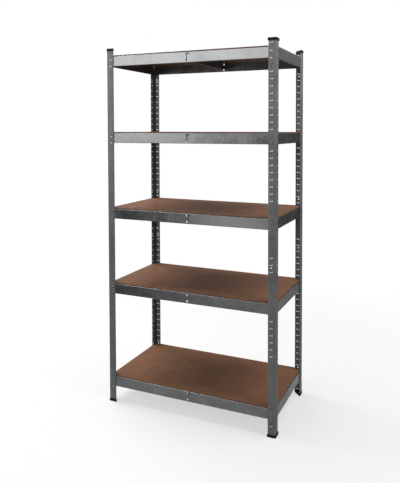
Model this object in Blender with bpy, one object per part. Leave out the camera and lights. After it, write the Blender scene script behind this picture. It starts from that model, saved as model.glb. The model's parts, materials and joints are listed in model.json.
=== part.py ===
"""A free-standing boltless rack with five shelves: galvanised angle posts, hooked beams and loose boards.

Metres, +Z up. The origin is on the ground under the middle of the rack. X runs along its
width, Y along its depth, and the front faces -Y.
"""

from math import cos, pi, radians, sin, sqrt

import bmesh
import bpy
from mathutils import Matrix, Vector

# Driving dimensions. CLEAR is the gap between pieces that touch, HAIR keeps faces that are
# joined or cut from lying exactly in one plane, and BEYOND takes a cutter well past its piece
WIDTH = 0.900
DEPTH = 0.450
HEIGHT = 1.800
SHEET = 0.0010
CLEAR = 0.0003
HAIR = 0.0001
BEYOND = 0.100
SLOT_PITCH = 0.032
SLOTS_PER_HALF = 28
SHELF_TOPS = (0.129, 0.609, 0.993, 1.377, 1.761)

# Posts: two equal halves, one above the other, each an angle with a turned-in lip on both free edges
HALF_LENGTH = SLOT_PITCH * SLOTS_PER_HALF
HALF_END_GAP = CLEAR / 2
FLANGE = 0.038
LIP = 0.0032
POST_BEND = 0.003
SLOT_START = 0.013
SLOT_NEAR = 0.0155
SLOT_STEP = 0.0180
SLOT_FAR = 0.0305
SLOT_LOW = 0.0016
SLOT_TALL = 0.0042
PILOT_AT = (0.1295, 0.7695)
PILOT_RADIUS = 0.003
PILOT_FROM_CORNER = 0.022

# Plastic end pieces, the same part on top of a post and under it
CAP_WALL = 0.0017
CAP_HEIGHT = 0.0125
CAP_FLOOR = HEIGHT / 2 - HALF_LENGTH - HALF_END_GAP
CAP_LEG = 0.042
CAP_NOSE = 0.0045
POST_INSET = CAP_WALL + CLEAR

# Beams
BEAM_HEIGHT = 0.050
BEAM_LEDGE = 0.015
BEAM_FOOT = 0.006
BEAM_BEND = 0.002
BEAM_SETBACK = 0.0043
BEAM_STOP = 0.012
BEAM_NOTCH = 0.008
NOTCH_SHOULDER = 0.0025
HOOK_WIDTH = 0.013
HOOK_DROP = 0.007
HOOK_LEVELS = (0.016, 0.048)

# Tie bars under the middle of each board, and the slot for their ears in the long beams
BAR_HEIGHT = 0.038
BAR_LEDGE = 0.014
BAR_END = 0.014
EAR_WIDTH = 0.012
EAR_TOP = 0.014
EAR_ROUND = 0.004
KEY_WIDTH = 0.007
KEY_TOP = 0.005
KEY_BOTTOM = 0.043
KEY_SIDE = 0.0115
KEY_SIDE_DEPTH = 0.005

# Connectors inside the joint of the two post halves
CONNECTOR_SHEET = 0.0012
CONNECTOR_FLANGE = 0.033
CONNECTOR_LOW = 0.842
CONNECTOR_HIGH = 0.941
LUG_WIDTH = 0.0019
LUG_HEIGHT = 0.0036
LUG_PROUD = 0.0008

# Boards
BOARD_THICKNESS = 0.005
BOARD_SETBACK = 0.0022
BOARD_CUT = 0.031

# Corners in order round the rack, each a quarter turn from the one before
CORNERS = ("front_left", "front_right", "rear_right", "rear_left")

POST_FACE_X = WIDTH / 2 - POST_INSET
POST_FACE_Y = DEPTH / 2 - POST_INSET
WEB_X = POST_FACE_X - BEAM_SETBACK
WEB_Y = POST_FACE_Y - BEAM_SETBACK


def clear_scene():
    for old in list(bpy.data.objects):
        bpy.data.objects.remove(old, do_unlink=True)


def make_material(name, colour, roughness, metallic):
    made = bpy.data.materials.new(name)
    made.use_nodes = True
    shader = made.node_tree.nodes["Principled BSDF"]
    shader.inputs["Base Color"].default_value = (*colour, 1.0)
    shader.inputs["Roughness"].default_value = roughness
    shader.inputs["Metallic"].default_value = metallic
    made.diffuse_color = (*colour, 1.0)
    return made


# ---------------------------------------------------------------- outlines


def arc(centre, radius, start, end, steps):
    """Points on a circle from one angle to another, in degrees."""
    points = []
    for i in range(steps + 1):
        angle = radians(start + (end - start) * i / steps)
        points.append((centre[0] + radius * cos(angle), centre[1] + radius * sin(angle)))
    return points


def rectangle(low, high):
    return [(low[0], low[1]), (high[0], low[1]), (high[0], high[1]), (low[0], high[1])]


def offset(path, distance):
    """The path moved to its left by a distance, with mitred corners."""
    points = [Vector(p) for p in path]
    normals = []
    for a, b in zip(points, points[1:]):
        run = (b - a).normalized()
        normals.append(Vector((-run.y, run.x)))
    moved = []
    for i, point in enumerate(points):
        before = normals[max(i - 1, 0)]
        after = normals[min(i, len(normals) - 1)]
        middle = (before + after).normalized()
        moved.append(tuple(point + middle * (distance / middle.dot(after))))
    return moved


def sheet_outline(path, near, far):
    """The closed outline of sheet metal that follows a path, between two distances on its left."""
    return offset(path, near) + list(reversed(offset(path, far)))


def angle_path(flange):
    """The post's outer face in plan, from the end of one flange round the corner to the other end."""
    return [(0, flange), *arc((POST_BEND, POST_BEND), POST_BEND, 180, 270, 3), (flange, 0)]


def post_path(tip_extra=0.0):
    """The same with a lip turned in by 45 degrees on both free edges."""
    reach = LIP + tip_extra
    end = FLANGE - LIP + reach
    return [(reach, end), *angle_path(FLANGE - LIP), (end, reach)]


# ---------------------------------------------------------------- solids


def prism(bm, outline, low, high, along="Z"):
    """Adds a closed prism: an outline in the two other axes, swept along X, Y or Z."""
    places = {
        "X": lambda u, v, w: (w, u, v),
        "Y": lambda u, v, w: (u, w, v),
        "Z": lambda u, v, w: (u, v, w),
    }
    place = places[along]
    bottom = [bm.verts.new(place(u, v, low)) for u, v in outline]
    top = [bm.verts.new(place(u, v, high)) for u, v in outline]
    faces = [bm.faces.new(bottom), bm.faces.new(top)]
    for i in range(len(outline)):
        j = (i + 1) % len(outline)
        faces.append(bm.faces.new((bottom[i], bottom[j], top[j], top[i])))
    bmesh.ops.recalc_face_normals(bm, faces=faces)


def solid(name, bm):
    mesh = bpy.data.meshes.new(name)
    bm.to_mesh(mesh)
    bm.free()
    made = bpy.data.objects.new(name, mesh)
    bpy.context.collection.objects.link(made)
    return made


def carve(name, base, steps):
    """The mesh of a base solid after Boolean steps, each an operation and the solids it uses."""
    target = solid(name, base)
    tools = []
    for operation, bm in steps:
        tool = solid(f"{name}_{operation.lower()}", bm)
        tools.append(tool)
        modifier = target.modifiers.new(operation, "BOOLEAN")
        modifier.operation = operation
        modifier.object = tool
        modifier.solver = "EXACT"
    graph = bpy.context.evaluated_depsgraph_get()
    mesh = bpy.data.meshes.new_from_object(target.evaluated_get(graph))
    mesh.name = name
    for used in (target, *tools):
        bpy.data.objects.remove(used, do_unlink=True)
    mesh.materials.clear()
    mesh.shade_smooth()
    mesh.set_sharp_from_angle(angle=radians(32))
    return mesh


def place(name, mesh, material, matrix):
    """One named object; repeated pieces share a mesh."""
    if not mesh.materials:
        mesh.materials.append(material)
    made = bpy.data.objects.new(name, mesh)
    bpy.context.collection.objects.link(made)
    made.location = matrix.to_translation()
    made.rotation_euler = matrix.to_euler()
    return made


def corner_matrix(index, face_x, face_y, height):
    """Puts a piece drawn from a front left outer corner at any of the four corners."""
    side = (-1, 1, 1, -1)[index]
    depth = (-1, -1, 1, 1)[index]
    turn = Matrix.Rotation(index * pi / 2, 4, "Z")
    return Matrix.Translation((side * face_x, depth * face_y, height)) @ turn


# ---------------------------------------------------------------- posts


def slot_outline(bottom):
    """An L-shaped slot: low along the flange, taller at the end near the post's corner."""
    low = bottom + SLOT_LOW
    tall = bottom + SLOT_TALL
    return [
        (SLOT_NEAR, bottom),
        (SLOT_FAR, bottom),
        (SLOT_FAR, low),
        (SLOT_STEP, low),
        (SLOT_STEP, tall),
        (SLOT_NEAR, tall),
    ]


def mirrored(outline):
    """The outline mirrored about the middle of a slot, which puts its taller end near the free edge."""
    return [(SLOT_NEAR + SLOT_FAR - u, w) for u, w in outline]


def post_half_mesh():
    """Half a post. Its slots repeat without mirroring across the bend, as from one row of punches."""
    angle = bmesh.new()
    prism(angle, sheet_outline(post_path(), 0, SHEET), HALF_END_GAP, HALF_LENGTH - HALF_END_GAP)
    cuts = bmesh.new()
    for i in range(SLOTS_PER_HALF):
        outline = slot_outline(SLOT_START + SLOT_PITCH * i)
        prism(cuts, mirrored(outline), -SHEET, SHEET * 2, "Y")
        prism(cuts, outline, -SHEET, SHEET * 2, "X")
    for height in PILOT_AT:
        hole = arc((PILOT_FROM_CORNER, height), PILOT_RADIUS, 22.5, 337.5, 7)
        prism(cuts, hole, -SHEET, SHEET * 2, "Y")
        prism(cuts, hole, -SHEET, SHEET * 2, "X")
    return carve("post_half", angle, [("DIFFERENCE", cuts)])


def connector_mesh():
    """An angle inside the post, with a lug through each slot it covers."""
    near = SHEET + CLEAR
    outline = sheet_outline(angle_path(CONNECTOR_FLANGE), near, near + CONNECTOR_SHEET)
    angle = bmesh.new()
    prism(angle, outline, CONNECTOR_LOW, CONNECTOR_HIGH)
    lugs = bmesh.new()
    slot = CAP_FLOOR + HALF_END_GAP + SLOT_START
    while slot + LUG_HEIGHT < CONNECTOR_HIGH:
        if slot > CONNECTOR_LOW:
            low = (SLOT_NEAR + CLEAR, slot + CLEAR)
            high = (low[0] + LUG_WIDTH, low[1] + LUG_HEIGHT)
            back = near + CONNECTOR_SHEET / 2
            prism(lugs, mirrored(rectangle(low, high)), -LUG_PROUD, back, "Y")
            prism(lugs, rectangle(low, high), -LUG_PROUD, back, "X")
        slot += SLOT_PITCH
    return carve("post_connector", angle, [("UNION", lugs)])


def cap_mesh():
    """The plastic end piece, floor down: a block with a groove for the post and a hollow middle."""
    corner = POST_BEND + POST_INSET
    block = bmesh.new()
    outline = [
        *arc((corner, corner), corner, 180, 270, 3),
        (CAP_LEG, 0),
        (CAP_LEG, CAP_NOSE),
        (CAP_NOSE, CAP_LEG),
        (0, CAP_LEG),
    ]
    prism(block, outline, 0, CAP_HEIGHT)

    groove = bmesh.new()
    ring = sheet_outline(post_path(CLEAR), -CLEAR, SHEET + CLEAR)
    shifted = [(u + POST_INSET, v + POST_INSET) for u, v in ring]
    prism(groove, shifted, CAP_FLOOR, BEYOND)

    pocket = bmesh.new()
    near = POST_INSET + SHEET + CLEAR + CAP_WALL
    far = CAP_LEG + CAP_NOSE - near - CAP_WALL * sqrt(2)
    prism(pocket, [(near, near), (far, near), (near, far)], CAP_FLOOR, BEYOND)
    return carve("cap", block, [("DIFFERENCE", groove), ("DIFFERENCE", pocket)])


# ---------------------------------------------------------------- beams


def beam_section():
    """Y and Z of the beam's sheet: a ledge on top, the web, and a short foot, all turned inward."""
    web_top = arc((BEAM_BEND, -BEAM_BEND), BEAM_BEND, 90, 180, 3)
    web_bottom = arc((BEAM_BEND, BEAM_BEND - BEAM_HEIGHT), BEAM_BEND, 180, 270, 3)
    path = [(BEAM_LEDGE, 0), *web_top, *web_bottom, (BEAM_FOOT, -BEAM_HEIGHT)]
    return sheet_outline(path, 0, SHEET)


def hook_outline(level):
    """Y and Z of a hook: out of the web, through the post's slot and down over its face."""
    top = SHEET + CLEAR - level
    front = -(BEAM_SETBACK + CLEAR)
    return [
        (SHEET / 2, top),
        (front - SHEET, top),
        (front - SHEET, top - HOOK_DROP),
        (front, top - HOOK_DROP),
        (front, top - SHEET),
        (SHEET / 2, top - SHEET),
    ]


def key_outline():
    """X and Z of the slot for a tie bar's ear: upright, with a side arm at its top."""
    half = KEY_WIDTH / 2
    return [
        (-half, -KEY_BOTTOM),
        (half, -KEY_BOTTOM),
        (half, -KEY_TOP - KEY_SIDE_DEPTH),
        (half + KEY_SIDE, -KEY_TOP - KEY_SIDE_DEPTH),
        (half + KEY_SIDE, -KEY_TOP),
        (-half, -KEY_TOP),
    ]


def beam_mesh(name, post_face, notched):
    """A beam along X, its web's outer face at Y = 0 and its top edge at Z = 0."""
    end = post_face - BEAM_STOP
    section = bmesh.new()
    prism(section, beam_section(), -end, end, "X")

    cuts = bmesh.new()
    if notched:
        behind_web = SHEET + HAIR
        notch = [
            (-BEYOND, HAIR),
            (BEYOND, HAIR),
            (BEYOND, -BEYOND),
            (behind_web, -BEYOND),
            (behind_web, -NOTCH_SHOULDER),
            (-BEYOND, -NOTCH_SHOULDER),
        ]
        prism(cuts, notch, end - BEAM_NOTCH, end + BEYOND, "X")
        prism(cuts, notch, -end - BEYOND, BEAM_NOTCH - end, "X")
        prism(cuts, key_outline(), -SHEET, SHEET * 2, "Y")

    hooks = bmesh.new()
    centre = post_face - (SLOT_NEAR + SLOT_FAR) / 2
    for level in HOOK_LEVELS:
        for side in (-centre, centre):
            prism(hooks, hook_outline(level), side - HOOK_WIDTH / 2, side + HOOK_WIDTH / 2, "X")

    steps = [("UNION", hooks)]
    if notched:
        steps.insert(0, ("DIFFERENCE", cuts))
    else:
        cuts.free()
    return carve(name, section, steps)


def tie_bar_mesh():
    """A bar along Y under the board, with an ear at each end that grips the long beam's web."""
    ledge_end = WEB_Y - BEAM_LEDGE - SHEET
    plate_end = WEB_Y - SHEET - CLEAR
    ear_in = WEB_Y + CLEAR
    half = SHEET / 2
    angle = bmesh.new()
    path = [(BAR_LEDGE, 0), (-half, 0), (-half, -BAR_HEIGHT)]
    prism(angle, sheet_outline(path, 0, SHEET), -ledge_end, ledge_end, "Y")

    ends = bmesh.new()
    low_top = -(SHEET + CLEAR)
    for side in (-1, 1):
        inner = ledge_end - BAR_END
        corner = (ear_in + SHEET - EAR_ROUND, EAR_ROUND - BAR_HEIGHT)
        plate = [
            (side * inner, -BAR_HEIGHT),
            (side * corner[0], -BAR_HEIGHT),
            (side * (ear_in + SHEET), corner[1]),
            (side * (ear_in + SHEET), -EAR_TOP),
            (side * plate_end, -EAR_TOP),
            (side * plate_end, low_top),
            (side * inner, low_top),
        ]
        prism(ends, plate, HAIR / 2 - half, half - HAIR / 2, "X")

    ears = bmesh.new()
    low = EAR_ROUND - BAR_HEIGHT
    high = -EAR_TOP - SHEET
    for side in (-1, 1):
        tip = side * EAR_WIDTH
        shoulder = side * (EAR_WIDTH - EAR_ROUND)
        ear = [
            (0, low),
            (shoulder, low),
            (tip, low + EAR_ROUND),
            (tip, high - EAR_ROUND),
            (shoulder, high),
            (0, high),
        ]
        near, far = sorted((side * ear_in, side * (ear_in + SHEET - HAIR)))
        prism(ears, ear, near, far, "Y")
    return carve("tie_bar", angle, [("UNION", ends), ("UNION", ears)])


def board_mesh():
    """A flat board with its four corners cut off, so that it lifts past the caps."""
    half_x = WEB_X - BOARD_SETBACK
    half_y = WEB_Y - BOARD_SETBACK
    outline = []
    for side, depth in ((1, -1), (1, 1), (-1, 1), (-1, -1)):
        along_x = (side * (half_x - BOARD_CUT), depth * half_y)
        along_y = (side * half_x, depth * (half_y - BOARD_CUT))
        outline += [along_x, along_y] if side * depth < 0 else [along_y, along_x]
    board = bmesh.new()
    prism(board, outline, 0, BOARD_THICKNESS)
    return carve("board", board, [])


# ---------------------------------------------------------------- the rack


def build_posts(steel, plastic):
    half = post_half_mesh()
    connector = connector_mesh()
    cap = cap_mesh()
    ground = HEIGHT / 2 - HALF_LENGTH
    tip_over = Matrix.Rotation(pi, 4, Vector((1, 1, 0)))
    for index, corner in enumerate(CORNERS):
        base = corner_matrix(index, POST_FACE_X, POST_FACE_Y, 0)
        place(f"post_lower_{corner}", half, steel, base @ Matrix.Translation((0, 0, ground)))
        place(f"post_upper_{corner}", half, steel, base @ Matrix.Translation((0, 0, HEIGHT / 2)))
        place(f"post_connector_{corner}", connector, steel, base)
        outer = corner_matrix(index, WIDTH / 2, DEPTH / 2, 0)
        place(f"foot_{corner}", cap, plastic, outer)
        top = corner_matrix(index, WIDTH / 2, DEPTH / 2, HEIGHT)
        place(f"cap_{corner}", cap, plastic, top @ tip_over)


def build_shelves(steel, wood):
    long_beam = beam_mesh("beam_long", POST_FACE_X, notched=True)
    short_beam = beam_mesh("beam_short", POST_FACE_Y, notched=False)
    bar = tie_bar_mesh()
    board = board_mesh()
    # Each side's name, its beam, its quarter turns from the front, and where its web stands
    sides = (
        ("front", long_beam, 0, (0, -WEB_Y)),
        ("right", short_beam, 1, (WEB_X, 0)),
        ("rear", long_beam, 2, (0, WEB_Y)),
        ("left", short_beam, 3, (-WEB_X, 0)),
    )
    for number, top in enumerate(SHELF_TOPS, start=1):
        for side, beam, turns, (x, y) in sides:
            turn = Matrix.Rotation(turns * pi / 2, 4, "Z")
            place(f"beam_{side}_{number}", beam, steel, Matrix.Translation((x, y, top)) @ turn)
        place(f"tie_bar_{number}", bar, steel, Matrix.Translation((0, 0, top)))
        place(f"board_{number}", board, wood, Matrix.Translation((0, 0, top + CLEAR)))


def main():
    clear_scene()
    steel = make_material("galvanised_steel", (0.21, 0.215, 0.22), 0.42, 0.9)
    wood = make_material("hardboard", (0.17, 0.085, 0.049), 0.5, 0.0)
    plastic = make_material("black_plastic", (0.012, 0.012, 0.013), 0.5, 0.0)
    build_posts(steel, plastic)
    build_shelves(steel, wood)


main()
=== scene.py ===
"""Looks of the boltless rack: fine sheet metal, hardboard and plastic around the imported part.

Metres, +Z up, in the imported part's frame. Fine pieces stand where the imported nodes' boxes say.
"""

import json
from math import pi, radians, sin, tan

import bmesh
import bpy
from mathutils import Matrix, Vector

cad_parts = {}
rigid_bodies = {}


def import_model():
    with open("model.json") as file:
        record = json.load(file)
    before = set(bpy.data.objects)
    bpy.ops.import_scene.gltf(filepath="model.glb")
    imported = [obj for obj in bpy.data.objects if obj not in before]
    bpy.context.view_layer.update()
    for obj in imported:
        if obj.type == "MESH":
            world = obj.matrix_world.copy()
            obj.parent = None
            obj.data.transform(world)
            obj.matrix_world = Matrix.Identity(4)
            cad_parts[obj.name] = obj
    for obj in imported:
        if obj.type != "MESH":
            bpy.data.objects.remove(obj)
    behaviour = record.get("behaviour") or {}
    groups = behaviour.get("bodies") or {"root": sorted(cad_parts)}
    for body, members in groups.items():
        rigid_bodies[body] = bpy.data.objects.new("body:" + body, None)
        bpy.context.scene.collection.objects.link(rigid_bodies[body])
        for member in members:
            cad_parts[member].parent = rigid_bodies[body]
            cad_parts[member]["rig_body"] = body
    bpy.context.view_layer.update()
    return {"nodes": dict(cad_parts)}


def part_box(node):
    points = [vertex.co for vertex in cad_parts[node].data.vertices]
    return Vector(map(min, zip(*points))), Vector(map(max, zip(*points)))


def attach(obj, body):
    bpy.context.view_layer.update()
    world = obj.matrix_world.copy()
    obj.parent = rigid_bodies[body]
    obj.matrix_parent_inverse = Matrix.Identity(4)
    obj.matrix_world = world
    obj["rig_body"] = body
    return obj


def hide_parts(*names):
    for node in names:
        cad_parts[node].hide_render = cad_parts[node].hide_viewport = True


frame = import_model()

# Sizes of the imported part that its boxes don't tell, and small roundings, some of them only in the
# fine pieces
SHEET = 0.0010
CLEAR = 0.0003
HAIR = 0.0001
BEYOND = 0.100
SLOT_PITCH = 0.032
SLOTS_PER_HALF = 28
HALF_END_GAP = CLEAR / 2
FLANGE = 0.038
LIP = 0.0032
POST_BEND = 0.003
LIP_BEND = 0.0016
SLOT_START = 0.013
SLOT_NEAR = 0.0155
SLOT_STEP = 0.0180
SLOT_FAR = 0.0305
SLOT_LOW = 0.0016
SLOT_TALL = 0.0042
SLOT_ROUND = 0.0007
PILOT_AT = (0.1295, 0.7695)
PILOT_RADIUS = 0.003
PILOT_FROM_CORNER = 0.022
CAP_WALL = 0.0017
CAP_HEIGHT = 0.0125
CAP_FLOOR = 0.00385
CAP_LEG = 0.042
CAP_NOSE = 0.0045
CAP_ROUND = 0.0006
BEAM_HEIGHT = 0.050
BEAM_LEDGE = 0.015
BEAM_FOOT = 0.006
BEAM_BEND = 0.002
BEAM_SETBACK = 0.0043
BEAM_STOP = 0.012
BEAM_NOTCH = 0.008
NOTCH_SHOULDER = 0.0025
HOOK_WIDTH = 0.013
HOOK_DROP = 0.007
HOOK_BEND = 0.0009
HOOK_LEVELS = (0.016, 0.048)
BAR_HEIGHT = 0.038
BAR_LEDGE = 0.014
BAR_END = 0.014
EAR_WIDTH = 0.012
EAR_TOP = 0.014
EAR_ROUND = 0.004
KEY_WIDTH = 0.007
KEY_TOP = 0.005
KEY_BOTTOM = 0.043
KEY_SIDE = 0.0115
KEY_SIDE_DEPTH = 0.005
BOARD_CUT = 0.031
EDGE_ROUND = 0.0002
BOARD_ROUND = 0.0005

# Degrees: a cap's edges are rounded where they turn by more than this
RIM_TURN = 30
# Degrees: edges that turn by more than this stay sharp in the shading
STEEL_CREASE = 35
BOARD_CREASE = 50
# A board's face looks up or down if its normal's Z is beyond this
LEVEL_NORMAL = 0.7

# The studio's floor: how opaque it is near the rack, and where it fades out
FLOOR_RADIUS = 2.2
FLOOR_OPACITY = 0.42
FADE_START = 0.5
FADE_END = 2.1
# The white surroundings' strength as the camera sees them and as they light the rack
SEEN_STRENGTH = 1.0
LIT_STRENGTH = 0.27

# Nearly all of a noise texture's values lie in this span
NOISE = (0.3, 0.7)

# Name, place, target, width and height, radiance
SOFTBOXES = (
    ("high_front_left_panel", (-1.6, -3.3, 2.75), (0, 0, 2.2), (2.9, 1.9), 2.45),
    ("low_left_strip", (-2.45, -3.25, 1.45), (0, 0, 1.4), (1.9, 0.8), 1.9),
    ("left_panel", (-2.5, 0.2, 1.3), (0, 0, 0.9), (2.4, 2.2), 1.6),
    ("right_panel", (2.6, -0.7, 1.3), (0, 0, 0.9), (1.8, 2.2), 0.6),
    ("steep_left_panel", (-1.7, 0.2, 2.9), (0, 0, 0.6), (1.6, 1.6), 10.0),
    ("steep_right_panel", (1.7, 0.0, 2.9), (0, 0, 0.6), (1.4, 1.4), 8.0),
    ("front_fill_panel", (-1.2, -3.6, 0.2), (0.2, 0, 0.9), (0.8, 0.9), 1.1),
)
# Name, place, target, width and height
DARK_CARDS = (
    ("left_card", (-2.7, -3.0, -0.35), (0, 0, -0.35), (1.9, 2.4)),
    ("back_right_card", (1.4, 3.2, 0.9), (0.4, 0, 0.9), (1.2, 2.4)),
)

CORNERS = ("front_left", "front_right", "rear_right", "rear_left")
SHELVES = range(1, 6)


# ---------------------------------------------------------------- outlines


def rounded(points, radius, closed=False, least_turn=20, steps=5):
    """The line with arcs for its corners, where it turns by more than least_turn degrees."""
    corners = [Vector(p) for p in points]
    made = []
    last = len(corners) - 1
    for i, corner in enumerate(corners):
        if not closed and i in (0, last):
            made.append(corner)
            continue
        before = (corners[i - 1] - corner).normalized()
        after = (corners[(i + 1) % len(corners)] - corner).normalized()
        turn = pi - before.angle(after)
        if turn < radians(least_turn):
            made.append(corner)
            continue
        start = corner + before * radius * tan(turn / 2)
        centre = corner + (before + after).normalized() * radius / sin(before.angle(after) / 2)
        spoke = start - centre
        side = 1 if before.cross(after) < 0 else -1
        for step in range(steps + 1):
            arm = spoke.copy()
            arm.rotate(Matrix.Rotation(side * turn * step / steps, 2))
            made.append(centre + arm)
    return [tuple(p) for p in made]


def rectangle(low, high):
    return [(low[0], low[1]), (high[0], low[1]), (high[0], high[1]), (low[0], high[1])]


def circle(centre, radius, steps=20):
    arm = Vector((radius, 0))
    made = []
    for step in range(steps):
        made.append(tuple(Vector(centre) + Matrix.Rotation(2 * pi * step / steps, 2) @ arm))
    return made


def offset(path, distance):
    """The path moved to its left by a distance, with mitred corners."""
    points = [Vector(p) for p in path]
    normals = []
    for a, b in zip(points, points[1:]):
        run = (b - a).normalized()
        normals.append(Vector((-run.y, run.x)))
    moved = []
    for i, point in enumerate(points):
        before = normals[max(i - 1, 0)]
        after = normals[min(i, len(normals) - 1)]
        middle = (before + after).normalized()
        moved.append(tuple(point + middle * (distance / middle.dot(after))))
    return moved


def sheet_outline(path, near, far, edge=EDGE_ROUND):
    """The closed outline of sheet metal along a path, its two cut edges slightly rounded."""
    outline = offset(path, near) + list(reversed(offset(path, far)))
    return rounded(outline, edge, closed=True, least_turn=70, steps=2) if edge else outline


# ---------------------------------------------------------------- solids


def prism(bm, outline, low, high, along="Z"):
    """Adds a closed prism: an outline in the two other axes, swept along X, Y or Z."""
    places = {
        "X": lambda u, v, w: (w, u, v),
        "Y": lambda u, v, w: (u, w, v),
        "Z": lambda u, v, w: (u, v, w),
    }
    at = places[along]
    bottom = [bm.verts.new(at(u, v, low)) for u, v in outline]
    top = [bm.verts.new(at(u, v, high)) for u, v in outline]
    faces = [bm.faces.new(bottom), bm.faces.new(top)]
    for i in range(len(outline)):
        j = (i + 1) % len(outline)
        faces.append(bm.faces.new((bottom[i], bottom[j], top[j], top[i])))
    bmesh.ops.recalc_face_normals(bm, faces=faces)


def loose_object(name, bm):
    mesh = bpy.data.meshes.new(name)
    bm.to_mesh(mesh)
    bm.free()
    made = bpy.data.objects.new(name, mesh)
    bpy.context.scene.collection.objects.link(made)
    return made


def carve(name, base, steps):
    """The mesh of a base solid after Boolean steps, with its large faces' normals kept flat."""
    target = loose_object(name, base)
    tools = []
    for operation, bm in steps:
        tool = loose_object(f"{name}_{operation.lower()}", bm)
        tools.append(tool)
        modifier = target.modifiers.new(operation, "BOOLEAN")
        modifier.operation = operation
        modifier.object = tool
        modifier.solver = "EXACT"
    graph = bpy.context.evaluated_depsgraph_get()
    mesh = bpy.data.meshes.new_from_object(target.evaluated_get(graph))
    for used in (target, *tools):
        bpy.data.objects.remove(used, do_unlink=True)
    mesh.shade_smooth()
    mesh.set_sharp_from_angle(angle=radians(STEEL_CREASE))
    return flat_normals(name, mesh)


def flat_normals(name, mesh):
    shaded = bpy.data.objects.new(name, mesh)
    bpy.context.scene.collection.objects.link(shaded)
    weighted = shaded.modifiers.new("flat faces stay flat", "WEIGHTED_NORMAL")
    weighted.keep_sharp = True
    weighted.weight = 100
    graph = bpy.context.evaluated_depsgraph_get()
    result = bpy.data.meshes.new_from_object(shaded.evaluated_get(graph))
    bpy.data.objects.remove(shaded, do_unlink=True)
    return result


def corner_frame(index, low, high, height):
    """Puts a piece drawn from a front left outer corner at any of the four corners of a box."""
    x = (low.x, high.x, high.x, low.x)[index]
    y = (low.y, low.y, high.y, high.y)[index]
    return Matrix.Translation((x, y, height)) @ Matrix.Rotation(index * pi / 2, 4, "Z")


def piece(name, mesh, matrix, node, materials):
    """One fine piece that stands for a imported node, its own mesh placed in the part's frame."""
    own = mesh.copy()
    own.name = name
    own.transform(matrix)
    own.materials.clear()
    for material in materials:
        own.materials.append(material)
    made = bpy.data.objects.new(name, own)
    bpy.context.scene.collection.objects.link(made)
    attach(made, frame["nodes"][node]["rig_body"])
    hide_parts(node)
    return made


# ---------------------------------------------------------------- posts, caps and feet


def post_path(tip_extra=0.0):
    """The post's outer face in plan: two flanges, each with a lip turned in by 45 degrees."""
    reach = LIP + tip_extra
    end = FLANGE - LIP + reach
    free = FLANGE - LIP
    first = rounded([(reach, end), (0, free), (0, free / 2)], LIP_BEND)
    bend = rounded([(0, free / 2), (0, 0), (free / 2, 0)], POST_BEND, steps=8)
    last = rounded([(free / 2, 0), (free, 0), (end, reach)], LIP_BEND)
    return first[:-1] + bend[1:-1] + last[1:]


def slot_outline(bottom):
    """A rounded L-shaped slot, low along the flange and taller near the post's corner."""
    low = bottom + SLOT_LOW
    tall = bottom + SLOT_TALL
    corners = [
        (SLOT_NEAR, bottom),
        (SLOT_FAR, bottom),
        (SLOT_FAR, low),
        (SLOT_STEP, low),
        (SLOT_STEP, tall),
        (SLOT_NEAR, tall),
    ]
    return rounded(corners, SLOT_ROUND, closed=True, steps=4)


def mirrored(outline):
    """The slot's outline mirrored, which puts its taller end near the free edge."""
    return [(SLOT_NEAR + SLOT_FAR - u, w) for u, w in outline]


def post_mesh(length):
    angle = bmesh.new()
    prism(angle, sheet_outline(post_path(), 0, SHEET), 0, length)
    cuts = bmesh.new()
    for i in range(SLOTS_PER_HALF):
        outline = slot_outline(SLOT_START + SLOT_PITCH * i - HALF_END_GAP)
        prism(cuts, mirrored(outline), -SHEET, SHEET * 2, "Y")
        prism(cuts, outline, -SHEET, SHEET * 2, "X")
    for height in PILOT_AT:
        hole = circle((PILOT_FROM_CORNER, height - HALF_END_GAP), PILOT_RADIUS)
        prism(cuts, hole, -SHEET, SHEET * 2, "Y")
        prism(cuts, hole, -SHEET, SHEET * 2, "X")
    return carve("slotted_post", angle, [("DIFFERENCE", cuts)])


def cap_mesh():
    """The plastic end piece, floor down: rounded edges, a groove for the post, a hollow middle."""
    inset = CAP_WALL + CLEAR
    block = bmesh.new()
    corners = [(0, 0), (CAP_LEG, 0), (CAP_LEG, CAP_NOSE), (CAP_NOSE, CAP_LEG), (0, CAP_LEG)]
    sides = rounded(corners[-1:] + corners[:2], POST_BEND + inset, steps=8)
    prism(block, sides + corners[2:4], 0, CAP_HEIGHT)
    rims = [e for e in block.edges if e.calc_face_angle(0) > radians(RIM_TURN)]
    bmesh.ops.bevel(
        block,
        geom=rims,
        offset=CAP_ROUND,
        segments=3,
        profile=0.5,
        affect="EDGES",
        clamp_overlap=True,
    )

    groove = bmesh.new()
    ring = sheet_outline(post_path(CLEAR), -CLEAR, SHEET + CLEAR, edge=0)
    prism(groove, [(u + inset, v + inset) for u, v in ring], CAP_FLOOR, BEYOND)

    pocket = bmesh.new()
    near = inset + SHEET + CLEAR + CAP_WALL
    far = CAP_LEG + CAP_NOSE - near - CAP_WALL * 2**0.5
    prism(pocket, [(near, near), (far, near), (near, far)], CAP_FLOOR, BEYOND)
    return carve("end_piece", block, [("DIFFERENCE", groove), ("DIFFERENCE", pocket)])


# ---------------------------------------------------------------- beams and tie bars


def beam_section():
    """Y and Z of the beam's sheet: a ledge on top, the web, and a short foot, all turned inward."""
    corners = [(BEAM_LEDGE, 0), (0, 0), (0, -BEAM_HEIGHT), (BEAM_FOOT, -BEAM_HEIGHT)]
    return sheet_outline(rounded(corners, BEAM_BEND, steps=7), 0, SHEET)


def hook_outline(level):
    """Y and Z of a hook: out of the web, through the post's slot and down over its face."""
    top = SHEET + CLEAR - level
    front = -(BEAM_SETBACK + CLEAR)
    path = [(SHEET / 2, top), (front - SHEET, top), (front - SHEET, top - HOOK_DROP)]
    return sheet_outline(rounded(path, HOOK_BEND + HAIR, steps=4), 0, SHEET)


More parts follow.
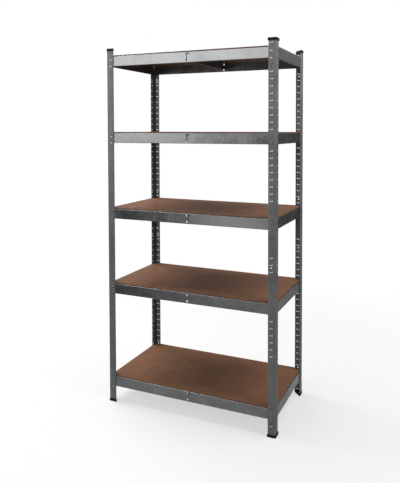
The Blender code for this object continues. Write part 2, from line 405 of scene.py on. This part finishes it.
def key_outline():
    """X and Z of the slot for a tie bar's ear: upright, with a side arm at its top."""
    half = KEY_WIDTH / 2
    corners = [
        (-half, -KEY_BOTTOM),
        (half, -KEY_BOTTOM),
        (half, -KEY_TOP - KEY_SIDE_DEPTH),
        (half + KEY_SIDE, -KEY_TOP - KEY_SIDE_DEPTH),
        (half + KEY_SIDE, -KEY_TOP),
        (-half, -KEY_TOP),
    ]
    return rounded(corners, SLOT_ROUND, closed=True, steps=4)


def beam_mesh(name, post_face, notched):
    """A beam along X, its web's outer face at Y = 0 and its top edge at Z = 0."""
    end = post_face - BEAM_STOP
    section = bmesh.new()
    prism(section, beam_section(), -end, end, "X")

    hooks = bmesh.new()
    centre = post_face - (SLOT_NEAR + SLOT_FAR) / 2
    for level in HOOK_LEVELS:
        for side in (-centre, centre):
            prism(hooks, hook_outline(level), side - HOOK_WIDTH / 2, side + HOOK_WIDTH / 2, "X")
    if not notched:
        return carve(name, section, [("UNION", hooks)])

    cuts = bmesh.new()
    behind_web = SHEET + HAIR
    notch = [
        (-BEYOND, HAIR),
        (BEYOND, HAIR),
        (BEYOND, -BEYOND),
        (behind_web, -BEYOND),
        (behind_web, -NOTCH_SHOULDER),
        (-BEYOND, -NOTCH_SHOULDER),
    ]
    prism(cuts, notch, end - BEAM_NOTCH, end + BEYOND, "X")
    prism(cuts, notch, -end - BEYOND, BEAM_NOTCH - end, "X")
    prism(cuts, key_outline(), -SHEET, SHEET * 2, "Y")
    return carve(name, section, [("DIFFERENCE", cuts), ("UNION", hooks)])


def tie_bar_mesh(web):
    """A bar along Y under the board, whose ears grip the long beams' webs."""
    ledge_end = web - BEAM_LEDGE - SHEET
    plate_end = web - SHEET - CLEAR
    ear_in = web + CLEAR
    half = SHEET / 2
    angle = bmesh.new()
    path = rounded([(BAR_LEDGE, 0), (-half, 0), (-half, -BAR_HEIGHT)], SHEET + HAIR)
    prism(angle, sheet_outline(path, 0, SHEET), -ledge_end, ledge_end, "Y")

    ends = bmesh.new()
    ears = bmesh.new()
    for side in (-1, 1):
        inner = side * (ledge_end - BAR_END)
        outer = side * (ear_in + SHEET)
        plate = [
            (inner, -BAR_HEIGHT),
            (outer - side * EAR_ROUND, -BAR_HEIGHT),
            (outer, EAR_ROUND - BAR_HEIGHT),
            (outer, -EAR_TOP),
            (side * plate_end, -EAR_TOP),
            (side * plate_end, -SHEET - CLEAR),
            (inner, -SHEET - CLEAR),
        ]
        prism(ends, plate, HAIR / 2 - half, half - HAIR / 2, "X")
        ear = [
            (0, EAR_ROUND - BAR_HEIGHT),
            (side * EAR_WIDTH, EAR_ROUND - BAR_HEIGHT),
            (side * EAR_WIDTH, -EAR_TOP - SHEET),
            (0, -EAR_TOP - SHEET),
        ]
        near, far = sorted((side * ear_in, side * (ear_in + SHEET - HAIR)))
        prism(ears, rounded(ear, EAR_ROUND), near, far, "Y")
    return carve("tie_bar_fine", angle, [("UNION", ends), ("UNION", ears)])


# ---------------------------------------------------------------- boards


def board_mesh(low, high):
    """A flat board with cut corners; face materials are 0 on top, 1 on the edges, 2 underneath."""
    reach = (high - low) / 2
    outline = []
    for side, depth in ((1, -1), (1, 1), (-1, 1), (-1, -1)):
        along_x = (side * (reach.x - BOARD_CUT), depth * reach.y)
        along_y = (side * reach.x, depth * (reach.y - BOARD_CUT))
        outline += [along_x, along_y] if side * depth < 0 else [along_y, along_x]
    board = bmesh.new()
    prism(board, outline, -reach.z, reach.z)
    bmesh.ops.bevel(board, geom=list(board.edges), offset=BOARD_ROUND, segments=2, affect="EDGES")
    for face in board.faces:
        up = face.normal.z
        face.material_index = 0 if up > LEVEL_NORMAL else 2 if up < -LEVEL_NORMAL else 1
    mesh = bpy.data.meshes.new("board_fine")
    board.to_mesh(mesh)
    board.free()
    mesh.shade_smooth()
    mesh.set_sharp_from_angle(angle=radians(BOARD_CREASE))
    return flat_normals("board_fine", mesh)


# ---------------------------------------------------------------- materials


def add(tree, kind, settings=(), **inputs):
    """Adds a shader node. Each input is a value or the output of another node."""
    made = tree.nodes.new("ShaderNode" + kind)
    for key, value in dict(settings).items():
        setattr(made, key, value)
    for key, value in inputs.items():
        socket = made.inputs[key.replace("_", " ")]
        if isinstance(value, bpy.types.NodeSocket):
            tree.links.new(value, socket)
        else:
            socket.default_value = value
    return made


def spread(tree, value, low, high, span=(0.0, 1.0)):
    """A value brought from its span to the range from low to high, and kept inside it."""
    made = add(
        tree, "MapRange", Value=value, From_Min=span[0], From_Max=span[1], To_Min=low, To_Max=high
    )
    return made.outputs["Result"]


def maths(tree, operation, a, b):
    made = tree.nodes.new("ShaderNodeMath")
    made.operation = operation
    for socket, value in zip(made.inputs, (a, b)):
        if isinstance(value, bpy.types.NodeSocket):
            tree.links.new(value, socket)
        else:
            socket.default_value = value
    return made.outputs[0]


def tint(tree, factor, first, second):
    """A colour between two colours."""
    made = tree.nodes.new("ShaderNodeMix")
    made.data_type = "RGBA"
    tree.links.new(factor, made.inputs[0])
    for socket, value in ((made.inputs[6], first), (made.inputs[7], second)):
        if isinstance(value, bpy.types.NodeSocket):
            tree.links.new(value, socket)
        else:
            socket.default_value = (*value, 1.0)
    return made.outputs[2]


def bump(tree, height, distance, strength=1.0, under=None):
    made = add(tree, "Bump", Height=height, Distance=distance, Strength=strength)
    if under is not None:
        tree.links.new(under, made.inputs["Normal"])
    return made.outputs["Normal"]


def noise(tree, place, scale, detail, roughness=0.5):
    made = add(tree, "TexNoise", Vector=place, Scale=scale, Detail=detail, Roughness=roughness)
    return made.outputs["Fac"]


def feed(tree, shader, **inputs):
    """Links each output to the shader input of that name."""
    for key, value in inputs.items():
        tree.links.new(value, shader.inputs[key.replace("_", " ")])


def start_material(name, metallic=0.0):
    material = bpy.data.materials.new(name)
    material.use_nodes = True
    tree = material.node_tree
    shader = tree.nodes["Principled BSDF"]
    shader.inputs["Metallic"].default_value = metallic
    place = tree.nodes.new("ShaderNodeTexCoord").outputs["Object"]
    return material, tree, shader, place


def galvanised(name, dark, light, roughness, metallic):
    """Zinc-coated sheet: crystals a few millimetres across, cloudy patches, grit, faint waves."""
    material, tree, shader, place = start_material(name, metallic)
    crystals = add(tree, "TexVoronoi", Vector=place, Scale=150.0)
    grey = add(tree, "RGBToBW", Color=crystals.outputs["Color"]).outputs[0]
    clouds = noise(tree, place, 9.0, 5.0, 0.6)
    grit = noise(tree, place, 900.0, 3.0)
    waves = noise(tree, place, 14.0, 2.0)
    tone = maths(tree, "ADD", spread(tree, grey, 0.0, 0.14), spread(tree, clouds, 0.0, 0.86, NOISE))
    rough = spread(tree, grey, *roughness)
    rough = maths(tree, "ADD", rough, spread(tree, clouds, -0.05, 0.07, NOISE))
    normal = bump(tree, waves, 0.0012, 0.5)
    normal = bump(tree, grey, 0.00001, 0.07, normal)
    normal = bump(tree, grit, 0.00002, 0.5, normal)
    colour = tint(tree, tone, dark, light)
    feed(tree, shader, Base_Color=colour, Roughness=rough, Normal=normal)
    return material


def hardboard_face():
    """Pressed fibre with a smooth skin of slight gloss: fibre flecks over cloudy tones."""
    material, tree, shader, place = start_material("hardboard_face")
    shader.inputs["Specular IOR Level"].default_value = 0.2
    flat = add(tree, "Mapping", Vector=place, Scale=(1.0, 1.6, 1.0)).outputs["Vector"]
    fibres = noise(tree, flat, 420.0, 6.0, 0.7)
    flecks = add(tree, "TexVoronoi", Vector=flat, Scale=260.0).outputs["Distance"]
    clouds = noise(tree, place, 14.0, 6.0, 0.7)
    cloudy = spread(tree, clouds, 0.0, 0.4, NOISE)
    tone = maths(tree, "ADD", spread(tree, fibres, -0.10, 0.62, NOISE), cloudy)
    colour = tint(tree, tone, (0.112, 0.051, 0.025), (0.250, 0.120, 0.064))
    # A fleck darkens the middle of its cell and ends at this share of the cell's size
    spots = spread(tree, flecks, 1.0, 0.0, (0.0, 0.12))
    colour = tint(tree, spots, colour, (0.080, 0.036, 0.020))
    rough = spread(tree, fibres, 0.40, 0.56, NOISE)
    normal = bump(tree, fibres, 0.00006, 0.5)
    feed(tree, shader, Base_Color=colour, Roughness=rough, Normal=normal)
    return material


def hardboard_edge():
    """The sawn edge: dark, reddish and matt, with layers of pressed fibre along it."""
    material, tree, shader, place = start_material("hardboard_edge")
    layered = add(tree, "Mapping", Vector=place, Scale=(1.0, 1.0, 9.0)).outputs["Vector"]
    layers = noise(tree, layered, 160.0, 5.0)
    tone = spread(tree, layers, 0.0, 1.0, NOISE)
    colour = tint(tree, tone, (0.075, 0.028, 0.017), (0.150, 0.062, 0.038))
    rough = spread(tree, layers, 0.75, 0.92)
    normal = bump(tree, layers, 0.0002, 0.6)
    feed(tree, shader, Base_Color=colour, Roughness=rough, Normal=normal)
    return material


def hardboard_back():
    """The underside, matt and printed with the weave of the press's screen."""
    material, tree, shader, place = start_material("hardboard_back")
    fibres = noise(tree, place, 300.0, 5.0)
    across = add(tree, "TexWave", {"bands_direction": "X"}, Vector=place, Scale=160.0)
    along = add(tree, "TexWave", {"bands_direction": "Y"}, Vector=place, Scale=160.0)
    screen = maths(tree, "MULTIPLY", across.outputs["Fac"], along.outputs["Fac"])
    woven = spread(tree, screen, 0.0, 0.3)
    tone = maths(tree, "ADD", spread(tree, fibres, 0.0, 0.7, NOISE), woven)
    colour = tint(tree, tone, (0.020, 0.017, 0.015), (0.046, 0.040, 0.036))
    rough = spread(tree, fibres, 0.80, 0.95)
    normal = bump(tree, screen, 0.0002, 0.7)
    normal = bump(tree, fibres, 0.0001, 0.5, normal)
    feed(tree, shader, Base_Color=colour, Roughness=rough, Normal=normal)
    return material


def black_plastic():
    """Moulded plastic with a fine eroded grain and a few duller, handled patches."""
    material, tree, shader, place = start_material("black_plastic")
    shader.inputs["Specular IOR Level"].default_value = 0.12
    grain = noise(tree, place, 1800.0, 3.0)
    patches = noise(tree, place, 60.0, 4.0)
    tone = spread(tree, patches, 0.0, 1.0, NOISE)
    colour = tint(tree, tone, (0.006, 0.006, 0.007), (0.016, 0.016, 0.017))
    rough = spread(tree, patches, 0.58, 0.76, NOISE)
    normal = bump(tree, grain, 0.00005, 0.5)
    feed(tree, shader, Base_Color=colour, Roughness=rough, Normal=normal)
    return material


# ---------------------------------------------------------------- the rack


def dress_posts(steel, plastic):
    low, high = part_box("post_lower_front_left")
    post = post_mesh(high.z - low.z)
    cap = cap_mesh()
    tip_over = Matrix.Rotation(pi, 4, Vector((1, 1, 0)))
    for index, corner in enumerate(CORNERS):
        for half in ("lower", "upper"):
            node = f"post_{half}_{corner}"
            low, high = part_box(node)
            matrix = corner_frame(index, low, high, low.z)
            piece(f"slotted_{node}", post, matrix, node, [steel])
        low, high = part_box(f"foot_{corner}")
        matrix = corner_frame(index, low, high, low.z)
        piece(f"plastic_foot_{corner}", cap, matrix, f"foot_{corner}", [plastic])
        low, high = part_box(f"cap_{corner}")
        matrix = corner_frame(index, low, high, high.z) @ tip_over
        piece(f"plastic_cap_{corner}", cap, matrix, f"cap_{corner}", [plastic])
        connector = frame["nodes"][f"post_connector_{corner}"]
        connector.data.materials.clear()
        connector.data.materials.append(steel)


def dress_shelves(steel, board_materials):
    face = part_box("post_lower_front_right")[1].x
    depth_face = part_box("post_lower_rear_right")[1].y
    web_x = face - BEAM_SETBACK
    web_y = depth_face - BEAM_SETBACK
    long_beam = beam_mesh("beam_long", face, notched=True)
    short_beam = beam_mesh("beam_short", depth_face, notched=False)
    bar = tie_bar_mesh(web_y)
    board = board_mesh(*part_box("board_1"))
    # Each side's name, its beam, its quarter turns from the front, and where its web stands
    sides = (
        ("front", long_beam, 0, (0, -web_y)),
        ("right", short_beam, 1, (web_x, 0)),
        ("rear", long_beam, 2, (0, web_y)),
        ("left", short_beam, 3, (-web_x, 0)),
    )
    for number in SHELVES:
        for side, beam, turns, (x, y) in sides:
            node = f"beam_{side}_{number}"
            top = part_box(node)[1].z
            matrix = Matrix.Translation((x, y, top)) @ Matrix.Rotation(turns * pi / 2, 4, "Z")
            piece(f"hooked_{node}", beam, matrix, node, [steel])
        node = f"tie_bar_{number}"
        matrix = Matrix.Translation((0, 0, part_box(node)[1].z))
        piece(f"eared_{node}", bar, matrix, node, [steel])
        node = f"board_{number}"
        low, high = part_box(node)
        matrix = Matrix.Translation((low + high) / 2)
        piece(f"hard{node}", board, matrix, node, board_materials)


# ---------------------------------------------------------------- the studio


def floor():
    """A pale disc that fades out away from the rack."""
    bm = bmesh.new()
    bmesh.ops.create_circle(bm, cap_ends=True, segments=96, radius=FLOOR_RADIUS)
    made = loose_object("studio_floor", bm)
    material, tree, shader, place = start_material("pale_floor")
    shader.inputs["Roughness"].default_value = 0.9
    tone = noise(tree, place, 2.0, 3.0)
    colour = tint(tree, tone, (0.68, 0.68, 0.68), (0.73, 0.73, 0.73))
    away = add(tree, "VectorMath", {"operation": "LENGTH"}, Vector=place).outputs["Value"]
    opacity = spread(tree, away, FLOOR_OPACITY, 0.0, (FADE_START, FADE_END))
    feed(tree, shader, Base_Color=colour, Alpha=opacity)
    made.data.materials.append(material)


def aim(made, location, target):
    """Puts a light or card in its place, facing its target and unseen by the camera."""
    made.location = location
    facing = (Vector(target) - Vector(location)).to_track_quat("-Z", "Y")
    made.rotation_euler = facing.to_euler()
    made.visible_camera = False


def softbox(name, location, target, size, radiance):
    """A rectangular light of even radiance that faces its target."""
    light = bpy.data.lights.new(name, "AREA")
    light.shape = "RECTANGLE"
    light.size, light.size_y = size
    light.energy = radiance * pi * size[0] * size[1]
    made = bpy.data.objects.new(name, light)
    bpy.context.scene.collection.objects.link(made)
    aim(made, location, target)


def dark_card(name, location, target, size):
    """A black felt card that keeps one part of the surroundings dark, as seen in the steel."""
    bm = bmesh.new()
    across, up = size[0] / 2, size[1] / 2
    bm.faces.new([bm.verts.new((u, v, 0)) for u, v in rectangle((-across, -up), (across, up))])
    made = loose_object(name, bm)
    material, tree, shader, place = start_material(name)
    felt = noise(tree, place, 200.0, 3.0)
    colour = tint(tree, felt, (0.01, 0.01, 0.01), (0.03, 0.03, 0.03))
    rough = spread(tree, felt, 0.85, 1.0)
    normal = bump(tree, felt, 0.001, 0.5)
    feed(tree, shader, Base_Color=colour, Roughness=rough, Normal=normal)
    made.data.materials.append(material)
    aim(made, location, target)


def studio():
    for panel in SOFTBOXES:
        softbox(*panel)
    for card in DARK_CARDS:
        dark_card(*card)
    world = bpy.data.worlds.new("studio")
    bpy.context.scene.world = world
    world.use_nodes = True
    tree = world.node_tree
    tree.nodes.clear()
    white = (1.0, 1.0, 1.0, 1.0)
    seen = add(tree, "Background", Color=white, Strength=SEEN_STRENGTH)
    lit = add(tree, "Background", Color=white, Strength=LIT_STRENGTH)
    mix = tree.nodes.new("ShaderNodeMixShader")
    tree.links.new(tree.nodes.new("ShaderNodeLightPath").outputs["Is Camera Ray"], mix.inputs[0])
    tree.links.new(lit.outputs[0], mix.inputs[1])
    tree.links.new(seen.outputs[0], mix.inputs[2])
    output = tree.nodes.new("ShaderNodeOutputWorld")
    tree.links.new(mix.outputs[0], output.inputs["Surface"])


def camera():
    """Stands in front of the right side at shoulder height and looks a little to the left."""
    lens = bpy.data.cameras.new("camera")
    lens.sensor_fit = "HORIZONTAL"
    lens.sensor_width = 36.0
    lens.lens = 47.17
    lens.shift_x = -0.100
    lens.shift_y = -0.229
    made = bpy.data.objects.new("camera", lens)
    bpy.context.scene.collection.objects.link(made)
    made.location = (1.173, -2.428, 1.388)
    degrees_down, degrees_left = 2.09, 22.14
    made.rotation_euler = (radians(90 - degrees_down), 0, radians(degrees_left))
    bpy.context.scene.camera = made


bpy.context.scene.view_settings.view_transform = "Standard"
camera()
post_steel = galvanised(
    "galvanised_post",
    dark=(0.13, 0.132, 0.134),
    light=(0.23, 0.232, 0.234),
    roughness=(0.50, 0.58),
    metallic=0.6,
)
beam_steel = galvanised(
    "galvanised_beam",
    dark=(0.18, 0.183, 0.186),
    light=(0.29, 0.293, 0.296),
    roughness=(0.20, 0.26),
    metallic=0.85,
)
dress_posts(post_steel, black_plastic())
dress_shelves(beam_steel, [hardboard_face(), hardboard_edge(), hardboard_back()])
floor()
studio()
